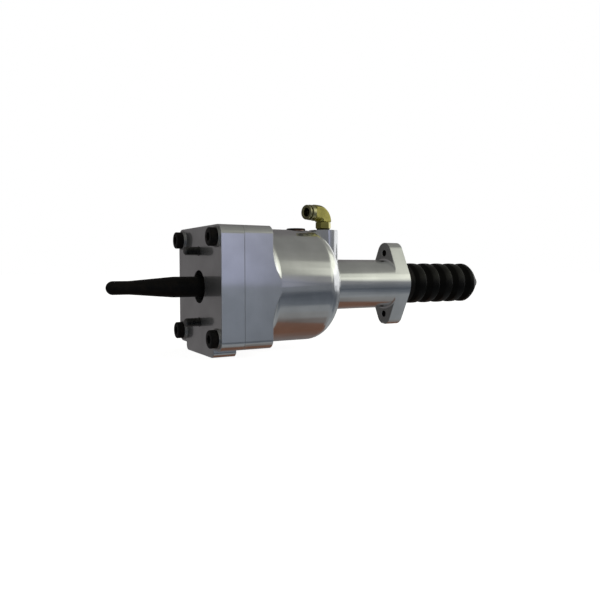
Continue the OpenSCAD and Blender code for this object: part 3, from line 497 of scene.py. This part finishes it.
def outline(name, points, closed):
    """Edge line in the XZ half-plane, drawn point by point from [x, radius]."""
    clear_selection()
    bpy.ops.mesh.primitive_plane_add(size=0.001, location=(0, 0, 0))
    piece = bpy.context.object
    piece.name = piece.data.name = name
    edit(piece)
    bpy.ops.mesh.merge(type="CENTER")
    x, r = points[0]
    bpy.ops.transform.translate(value=(x, 0, r))
    for (x0, r0), (x1, r1) in zip(points, points[1:]):
        bpy.ops.mesh.extrude_vertices_move(
            TRANSFORM_OT_translate={"value": (x1 - x0, 0, r1 - r0)})
    if closed:
        ends = (0, len(points) - 1)
        select_where(piece, "verts", lambda vertex: vertex.index in ends)
        bpy.ops.mesh.edge_face_add()
    bpy.ops.object.mode_set(mode="OBJECT")
    return piece


def spun(name, points, steps, closed=True, angle=30):
    """Solid turned about the main axis from an outline of [x, radius] in metres."""
    piece = outline(name, points, closed)
    edit(piece)
    bpy.ops.mesh.spin(steps=steps, angle=2 * math.pi, center=(0, 0, 0), axis=(1, 0, 0))
    bpy.ops.mesh.select_all(action="SELECT")
    bpy.ops.mesh.remove_doubles(threshold=0.003 * MM)
    bpy.ops.mesh.normals_make_consistent(inside=False)
    bpy.ops.object.mode_set(mode="OBJECT")
    smooth(piece, angle)
    return piece


def arc(x, r, radius, start, stop, steps):
    """Points of an arc round (x, r); 0 degrees points outwards, 90 to +X."""
    turns = [math.radians(start + (stop - start) * i / steps) for i in range(steps + 1)]
    return [(x + radius * math.sin(a), r + radius * math.cos(a)) for a in turns]


def shifted_copies(piece, places):
    """The piece at each place: the first is the piece itself, the others are copies."""
    made = []
    for i, place in enumerate(places):
        only(piece)
        if i:
            bpy.ops.object.duplicate()
        made.append(bpy.context.object)
    for copy, place in zip(made, places):
        only(copy)
        bpy.ops.transform.translate(value=place)
        bpy.ops.object.transform_apply(location=True, rotation=True, scale=True)
    return made


def joined(name, pieces):
    """The pieces as one object with this name."""
    clear_selection()
    for piece in pieces:
        piece.select_set(True)
    bpy.context.view_layer.objects.active = pieces[0]
    bpy.ops.object.join()
    pieces[0].name = pieces[0].data.name = name
    return pieces[0]


# The pieces


def make_flush(casting):
    """The cylinder's crest stands 0.2 mm proud of the block's sides. Makes it flush up to
    the block's end, from where it rises to its own height at CREST_X. Stays in edit mode."""
    for side in (-1, 1):
        edit(casting)
        mesh = bmesh.from_edit_mesh(casting.data)
        for x in (BLOCK_END, CREST_X):
            for face in mesh.faces:
                face.select = min(v.co.y * side for v in face.verts) > BLOCK_Y - NEAR
            bpy.ops.mesh.bisect(plane_co=(x, 0, 0), plane_no=(1, 0, 0))
        select_where(casting, "verts", lambda vertex: (
            vertex.co.y * side > BLOCK_Y and vertex.co.x < BLOCK_END + NEAR))
        bpy.ops.transform.resize(value=(1, 0, 1), center_override=(0, side * BLOCK_Y, 0))
    bpy.ops.mesh.select_all(action="SELECT")
    bpy.ops.mesh.dissolve_limited(angle_limit=FLAT)


def round_flange(casting, radius):
    """In edit mode, rounds two short front edges at the flange's lowest point. Its other
    front edges are only broken, as the rest of the casting is."""
    side_limit, height_limit = -1 * MM, -44.3 * MM

    def lowest(edge):
        a, b = (v.co for v in edge.verts)
        flat = max(abs(a.x - FLANGE_X), abs(b.x - FLANGE_X)) < NEAR
        return flat and min(a.y, b.y) > side_limit and max(a.z, b.z) < height_limit

    select_where(casting, "edges", lowest)
    bpy.ops.mesh.bevel(offset=radius, segments=4, affect="EDGES")
    bpy.ops.object.mode_set(mode="OBJECT")


def paint_hole_shade(casting):
    """Gives the walls of the flange's two holes a dark finish of their own: painted shade, darker than the
    alloy round them.
    """

    def in_hole(face):
        x, y, z = face.calc_center_median()
        return x > FLANGE_X and math.hypot(y, abs(z) - BOLT_Z) < BOLT_R

    casting.data.materials.append(finishes()["bolt_hole"])
    edit(casting)
    select_where(casting, "faces", in_hole)
    casting.active_material_index = 1
    bpy.ops.object.material_slot_assign()
    bpy.ops.object.mode_set(mode="OBJECT")


class SERVO_OT_castings(bpy.types.Operator):
    """Housing and front cover with broken edges, and painted shade in the flange's bolt holes"""

    bl_idname = "servo.castings"
    bl_label = "Castings"

    def execute(self, context):
        sizes = context.scene.servo_sizes
        cover = edged_copy("cover_casting", "front_cover", sizes.edge_break)
        dress(cover, "machined_alloy", "housing", "front_cover")
        casting = merged_copy("housing_casting", "housing")
        make_flush(casting)
        round_flange(casting, sizes.flange_round)
        break_edges(casting, sizes.edge_break)
        dress(casting, "machined_alloy", "housing", "housing")
        # Painted shade on the walls of the flange's bolt holes
        paint_hole_shade(casting)
        return {"FINISHED"}


class SERVO_OT_screws(bpy.types.Operator):
    """Four low cap screws with knurled heads and hexagon sockets, and their washers"""

    bl_idname = "servo.screws"
    bl_label = "Cover screws"

    def execute(self, context):
        sizes = context.scene.servo_sizes
        low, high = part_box("cover_screws")
        top, seat = low.x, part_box("cover_washers")[0].x
        head_r, shank_r, socket_r, socket_deep = 8 * MM, 5 * MM, 4.04 * MM, 3.5 * MM
        reach = high.y - head_r

        # The rim lies between two plain chamfers, and every second line of it is pushed in
        head = spun("screw_heads", [
            (top, 0), (top, head_r - 1.1 * MM), (top + 0.15 * MM, head_r - 0.5 * MM),
            (top + 0.7 * MM, head_r), (top + 2 * MM, head_r), (seat - 1.6 * MM, head_r),
            (seat - 0.5 * MM, head_r), (seat, head_r - 0.4 * MM), (seat, shank_r),
            (high.x, shank_r), (high.x, 0)], steps=sizes.knurls * 2, closed=False, angle=24)

        def knurl(place, radius):
            turn = round(math.atan2(place.z, place.y) / math.pi * sizes.knurls)
            pushed = radius > head_r - NEAR and turn % 2
            return 1 - sizes.knurl_depth / radius if pushed else 1

        edit(head)
        narrow(head, knurl)
        clear_selection()
        bpy.ops.mesh.primitive_cylinder_add(
            vertices=6, radius=socket_r, depth=2 * socket_deep, location=(top, 0, 0),
            rotation=(0, math.pi / 2, 0))
        key = bpy.context.object
        apply_modifier(head, "BOOLEAN", operation="DIFFERENCE", object=key, solver="EXACT")
        bpy.data.objects.remove(key)
        smooth(head, 24)
        places = [(0, y * reach, z * reach) for y in (-1, 1) for z in (-1, 1)]
        heads = joined("screw_heads", shifted_copies(head, places))
        dress(heads, "black_steel", "housing", "cover_screws")
        dress(edged_copy("plain_washers", "cover_washers", 0.2 * MM), "bright_steel",
              "housing", "cover_washers", look="washer_steel")
        return {"FINISHED"}


class SERVO_OT_studs(bpy.types.Operator):
    """Two studs with a cut thread"""

    bl_idname = "servo.studs"
    bl_label = "Mounting studs"

    def execute(self, context):
        pitch = context.scene.servo_sizes.thread_pitch
        low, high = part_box("mounting_studs")
        crest, core, root_r = 4 * MM, 4 * MM - 0.61 * pitch, 4.3 * MM
        sunk, point, overrun = 0.3 * MM, 1.1 * MM, 4 * MM

        # One turn of thread, repeated from two turns before the end and cut off at both ends
        start = low.x - 2 * pitch
        thread = outline("studs", [
            (start, core), (start + pitch * 0.44, crest), (start + pitch * 0.56, crest),
            (start + pitch, core)], closed=False)
        apply_modifier(thread, "SCREW", axis="X", angle=2 * math.pi, screw_offset=pitch,
                       iterations=int((overrun - low.x) / pitch), steps=48, render_steps=48,
                       use_merge_vertices=True, merge_threshold=NEAR,
                       use_normal_calculate=True)
        edit(thread)
        bpy.ops.mesh.remove_doubles(threshold=NEAR)
        for x, cleared in ((low.x, "clear_inner"), (sunk, "clear_outer")):
            bpy.ops.mesh.bisect(plane_co=(x, 0, 0), plane_no=(1, 0, 0), use_fill=True,
                                **{cleared: True})
            bpy.ops.mesh.select_all(action="SELECT")
        bpy.ops.mesh.normals_make_consistent(inside=False)

        def pointed(place, radius):
            limit = crest - point + (place.x - low.x)
            return limit / radius if radius > limit else 1

        narrow(thread, pointed)
        bpy.ops.object.mode_set(mode="OBJECT")
        root = spun("stud_root", [
            (0, 0), (0, root_r), (high.x - 1 * MM, root_r), (high.x, root_r - 1 * MM),
            (high.x, 0)], steps=40, closed=False)
        stud = joined("studs", [thread, root])
        smooth(stud, 25)
        reach = high.z - root_r
        studs = joined("studs", shifted_copies(stud, [(0, 0, reach), (0, 0, -reach)]))
        dress(studs, "black_steel", "housing", "mounting_studs", look="stud_steel")
        return {"FINISHED"}


class SERVO_OT_rod(bpy.types.Operator):
    """Push rod with its ball end, taper and round tip"""

    bl_idname = "servo.rod"
    bl_label = "Push rod"

    def execute(self, context):
        low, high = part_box("push_rod")
        tip_r, thick_r, neck_r, ball_r = 6 * MM, 9.42 * MM, 8 * MM, 12 * MM
        ball_x, neck_x, flat_r = 97 * MM, 84 * MM, 5.5 * MM
        taper, taper_end = low.x + 19.6 * MM, low.x + 59.6 * MM
        front = math.degrees(math.asin(neck_r / ball_r))
        back = math.degrees(math.acos(flat_r / ball_r))
        points = arc(low.x + tip_r, 0, tip_r, -90, 0, 12)
        points += [(taper - 2 * MM, tip_r), (taper, tip_r + 0.04 * MM),
                   (taper + 2 * MM, tip_r + 0.18 * MM),
                   (taper_end - 1 * MM, thick_r - 0.06 * MM), (taper_end + 1 * MM, thick_r),
                   (neck_x - 1 * MM, thick_r), (neck_x, thick_r - 1 * MM), (neck_x, neck_r)]
        points += arc(ball_x, 0, ball_r, front - 90, back, 26)
        points += [(high.x, flat_r - 0.5 * MM), (high.x, 0)]
        dress(spun("thrust_rod", points, steps=72, closed=False, angle=35),
              "black_steel", "push_rod", "push_rod")
        return {"FINISHED"}


class SERVO_OT_boot(bpy.types.Operator):
    """Folded boot from the flange to the piston's stem, and its clip"""

    bl_idname = "servo.boot"
    bl_label = "Boot"

    def execute(self, context):
        low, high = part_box("boot")
        wall, spigot_r, peak_r, hole_r = 1.6 * MM, 19.8 * MM, 22.3 * MM, 5.5 * MM
        fold_count, pitch, first, last = 5, 19.15 * MM, 241.4 * MM, 327.575 * MM
        nose_len, nose_power = 22.9 * MM, 2 / 1.2
        shoulder, top, bulge, lean = context.scene.servo_sizes.fold_round, 4 * MM, 5, 36
        edge, slack = 0.4 * MM, 0.05 * MM

        # Half of a fold from its crest: slightly domed top, round shoulder, straight flank
        crest = top / math.sin(math.radians(bulge))
        half = arc(0, peak_r - crest, crest, 0, bulge, 4)
        half += arc(top - shoulder * math.sin(math.radians(bulge)),
                    half[-1][1] - shoulder * math.cos(math.radians(bulge)),
                    shoulder, bulge, lean, 6)[1:]
        foot, foot_r = half[-1]
        run, drop = pitch / 2 - foot, math.tan(math.radians(lean))
        half += [(foot + run * k / 3, foot_r - drop * run * k / 3) for k in (1, 2, 2.8)]
        valley = (pitch / 2, half[-1][1] - 0.06 * MM)

        def folds(inset):
            """The folds from the first to the last crest, that much inside the outer face."""
            line = []
            for k in range(fold_count):
                middle, is_last = first + (k + 0.5) * pitch, k == fold_count - 1
                rear = half[:1] if is_last else [*half, valley]
                line += [(middle - x, r - inset) for x, r in half[:0:-1]]
                line += [(middle + x, r - inset) for x, r in rear]
            return line

        def nose(inset):
            """The domed nose, down to just outside its hole."""
            turns = [math.radians(4 * i) for i in range(1, 18)]
            return [(last + (nose_len - inset) * math.sin(a) ** nose_power,
                     max(peak_r * math.cos(a) ** nose_power - inset, hole_r + 1 * MM))
                    for a in turns]

        collar_r = spigot_r + wall
        outer = [(low.x, collar_r - edge), (low.x + edge, collar_r),
                 (first - 0.9 * MM, collar_r), (first - 0.3 * MM, collar_r - 0.6 * MM)]
        outer += folds(0) + nose(0)
        hole = [(high.x, hole_r + 0.5 * MM), (high.x - edge, hole_r), (high.x - wall, hole_r)]
        inner = [(low.x, spigot_r + slack), (first - 0.5 * MM, spigot_r + slack)]
        inner += [(x, min(r, spigot_r)) for x, r in folds(wall)[:3]] + folds(wall)[3:]
        inner += nose(wall)
        piece = spun("boot_bellows", outer + hole + inner[::-1], steps=112, angle=34)
        dress(piece, "boot_rubber", None, "boot")
        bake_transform(piece)
        dress(edged_copy("boot_band", "boot_clip", 0.2 * MM), "black_steel", "housing",
              "boot_clip")
        return {"FINISHED"}


class SERVO_OT_fitting(bpy.types.Operator):
    """Brass swivel elbow, its push-in socket and hexagon, and the low plug"""

    bl_idname = "servo.fitting"
    bl_label = "Air fitting"

    def execute(self, context):
        sizes = context.scene.servo_sizes
        elbow = merged_copy("elbow_forging", "elbow_body")
        arm = Vector((ARM_X, 0, ARM_Z))
        for side in (-1, 1):
            out = side * Vector((-math.sin(ARM_TURN), math.cos(ARM_TURN), 0))
            edit(elbow)
            bpy.ops.mesh.bisect(plane_co=arm + out * sizes.cheek, plane_no=out,
                                use_fill=True, clear_outer=True)
        dress(break_edges(elbow, sizes.fitting_edge), "brass", "elbow", "elbow_body")
        for name, node, slot, look, body in (
                ("socket_sleeve", "port_sleeve", "brass", "dull_brass", "elbow"),
                ("push_collar", "release_collar", "brass", "dull_brass", "release_collar"),
                ("hexagon_adapter", "port_adapter", "brass", "brass", "housing"),
                ("crest_plug", "port_plug", "black_steel", "black_steel", "housing")):
            dress(edged_copy(name, node, sizes.fitting_edge), slot, body, node, look=look)
        return {"FINISHED"}


class SERVO_OT_springs(bpy.types.Operator):
    """Three coil springs between the two bodies they stand on"""

    bl_idname = "servo.springs"
    bl_label = "Springs"

    def execute(self, context):
        for name, node, front, rear in (
                ("return_coil", "return_spring", "housing", "piston"),
                ("plunger_coil", "plunger_spring", "piston", "plunger"),
                ("poppet_coil", "poppet_spring", "piston", "poppet")):
            coil = merged_copy(name, node)
            smooth(coil, 50)
            dress(coil, "spring_steel", None, node)
            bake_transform(coil)
        return {"FINISHED"}


class SERVO_OT_inner_works(bpy.types.Operator):
    """Finishes of the solids that show as they are: seals, bushes, piston, valve"""

    bl_idname = "servo.inner_works"
    bl_label = "Inner works"

    def execute(self, context):
        slots = {part["node"]: part["material_slot"] for part in frame["record"]["subparts"]}
        looks = finishes()
        for name, node in frame["nodes"].items():
            node.data.materials.clear()
            node.data.materials.append(looks[slots[name]])
        return {"FINISHED"}


# Studio


# Light of the room, from below to above: elevation in degrees and colour
ROOM = (
    (-90, (0.12, 0.10, 0.09)), (-60, (0.125, 0.105, 0.095)), (-49, (0.235, 0.24, 0.238)),
    (-39, (0.255, 0.27, 0.28)), (-28, (0.115, 0.13, 0.15)), (-16, (0.055, 0.065, 0.082)),
    (-5, (0.125, 0.135, 0.15)), (8, (0.19, 0.19, 0.20)), (24, (0.27, 0.27, 0.24)),
    (40, (0.26, 0.26, 0.235)), (54, (0.215, 0.215, 0.20)), (70, (0.19, 0.19, 0.18)))

# Lights in the room: elevation and direction in degrees, each from, to and the softness of
# both ends, and then the colour
LIGHTS = {
    "blue card": ((-1.7, 14, 0.2, 8), (-73, -62.5, 3, 5.5), (0.27, 0.285, 0.42)),
    "card's foot": ((-7.8, -1.9, 4.5, 0.3), (-76, -62.5, 4, 5.5), (0.085, 0.10, 0.13)),
    "halo": ((15, 37, 8, 9), (-50, 10, 14, 12), (0.97, 0.99, 0.83)),
    "light box": ((-4.5, 20, 3.5, 6), (-30, 42, 5, 8), (0.9, 0.9, 0.9)),
    "glint": ((9, 28, 3, 5), (-55.5, -47, 2.5, 4), (0.38, 0.385, 0.33)),
    "low glow": ((-34, -8, 14, 8), (6, 50, 20, 14), (0.24, 0.24, 0.225)),
}


def studio_light():
    """World: white to the camera, a soft studio with one large box of light to the part."""
    world = bpy.data.worlds.new("studio")
    bpy.context.scene.world = world
    world.use_nodes = True
    s = Shader(world.node_tree)
    x, y, z = s.axes(s.add("ShaderNodeTexCoord", out="Generated"))
    height = z.maths("ARCSINE", z) * (180 / math.pi)
    direction = y.maths("ARCTAN2", y, x) * (180 / math.pi)

    def patch(value, low, high, soft_low, soft_high):
        """1 between low and high, with soft ends."""
        return s.fade(value, low - soft_low, low + soft_low) * s.fade(
            value, high - soft_high, high + soft_high, 1, 0)

    stops = [((elevation + 90) / 180, colour) for elevation, colour in ROOM]
    room = s.add("ShaderNodeValToRGB", {"blend": "EASE", "stops": stops},
                 {0: (height + 90) / 180})

    # The wall on the side away from the camera is darker than the room
    behind = s.fade(y, 0.25, 0.62) * s.fade(x, 0.5, 0.75, 1, 0)
    wall = s.mix(s.fade(x, -0.58, -0.42), (0.06, 0.058, 0.056, 1), (0.155, 0.146, 0.147, 1))
    total = s.mix(behind, room, wall)

    for heights, directions, colour in LIGHTS.values():
        share = patch(height, *heights) * patch(direction, *directions)
        total = s.mix(share, total, (*colour, 1), "ADD")

    # Brown table top below the part, from a slanted edge on
    from_edge = s.fade(x * -0.727 + y * 0.458 + z * -0.511, -0.015, 0.02)
    table = from_edge * s.fade(height, -32, -24, 1, 0) * patch(direction, -70, 50, 15, 20)
    total = s.mix(table, total, (0.15, 0.072, 0.045, 1))

    seen = s.add("ShaderNodeLightPath", out="Is Camera Ray")
    light = s.add("ShaderNodeBackground", None, {0: total, 1: 1.0})
    white = s.add("ShaderNodeBackground", None, {0: (1, 1, 1, 1), 1: 1.0})
    both = s.add("ShaderNodeMixShader", None, {0: seen, 1: light, 2: white})
    s.add("ShaderNodeOutputWorld", None, {0: both})


def pale_floor():
    """Large pale floor, which no reflection shows."""
    clear_selection()
    bpy.ops.mesh.primitive_plane_add(size=12, location=(0.1, 0, cad_box[0].z))
    floor = bpy.context.object
    floor.name = "studio_floor"
    bpy.ops.object.transform_apply(location=True, rotation=True, scale=True)
    pale = bpy.data.materials.new("pale_floor")
    pale.use_nodes = True
    s = Shader(pale.node_tree)
    glow = s.add("ShaderNodeEmission", None, {0: (1, 1, 1, 1), 1: 0.88})
    matt = s.add("ShaderNodeBsdfDiffuse", None, {0: (0.8, 0.8, 0.8, 1)})
    both = s.add("ShaderNodeAddShader", None, {0: glow, 1: matt})
    s.add("ShaderNodeOutputMaterial", None, {0: both})
    floor.data.materials.append(pale)
    floor.visible_glossy = floor.visible_diffuse = False


def photo_camera():
    """Camera at the photograph's viewing angle."""
    view = bpy.data.cameras.new("camera")
    view.lens, view.sensor_width = 36.055, 36.0
    view.clip_start, view.clip_end = 0.01, 50
    camera = bpy.data.objects.new("camera", view)
    camera.location = (-0.193549, -0.527958, 0.017974)
    tilt, roll, heading = 86.87, 0, -29.70
    camera.rotation_euler = Euler([math.radians(a) for a in (tilt, roll, heading)])
    bpy.context.scene.collection.objects.link(camera)
    bpy.context.scene.camera = camera


class SERVO_OT_stage(bpy.types.Operator):
    """Pale floor, soft studio light and the camera"""

    bl_idname = "servo.stage"
    bl_label = "Stage"

    def execute(self, context):
        studio_light()
        pale_floor()
        photo_camera()
        context.scene.view_settings.view_transform = "Standard"
        return {"FINISHED"}


PIECES = (SERVO_OT_castings, SERVO_OT_screws, SERVO_OT_studs, SERVO_OT_rod, SERVO_OT_boot,
          SERVO_OT_fitting, SERVO_OT_springs, SERVO_OT_inner_works, SERVO_OT_stage)


class SERVO_PT_panel(bpy.types.Panel):
    """Lists the operators of the clutch servo"""

    bl_idname = "SERVO_PT_panel"
    bl_label = "Clutch Servo"
    bl_space_type = "VIEW_3D"
    bl_region_type = "UI"
    bl_category = "Clutch Servo"

    def draw(self, context):
        for group in (context.scene.servo_sizes, context.scene.servo_colours):
            for name in group.__annotations__:
                self.layout.prop(group, name)
        for piece in PIECES:
            self.layout.operator(piece.bl_idname)


CLASSES = (ServoSizes, ServoColours, *PIECES, SERVO_PT_panel)


def register():
    for cls in CLASSES:
        bpy.utils.register_class(cls)
    bpy.types.Scene.servo_sizes = PointerProperty(type=ServoSizes)
    bpy.types.Scene.servo_colours = PointerProperty(type=ServoColours)


def unregister():
    del bpy.types.Scene.servo_sizes
    del bpy.types.Scene.servo_colours
    for cls in reversed(CLASSES):
        bpy.utils.unregister_class(cls)


def main():
    register()
    bpy.ops.servo.castings()
    bpy.ops.servo.screws()
    bpy.ops.servo.studs()
    bpy.ops.servo.rod()
    bpy.ops.servo.boot()
    bpy.ops.servo.fitting()
    bpy.ops.servo.springs()
    bpy.ops.servo.inner_works()
    bpy.ops.servo.stage()


if __name__ == "__main__":
    main()
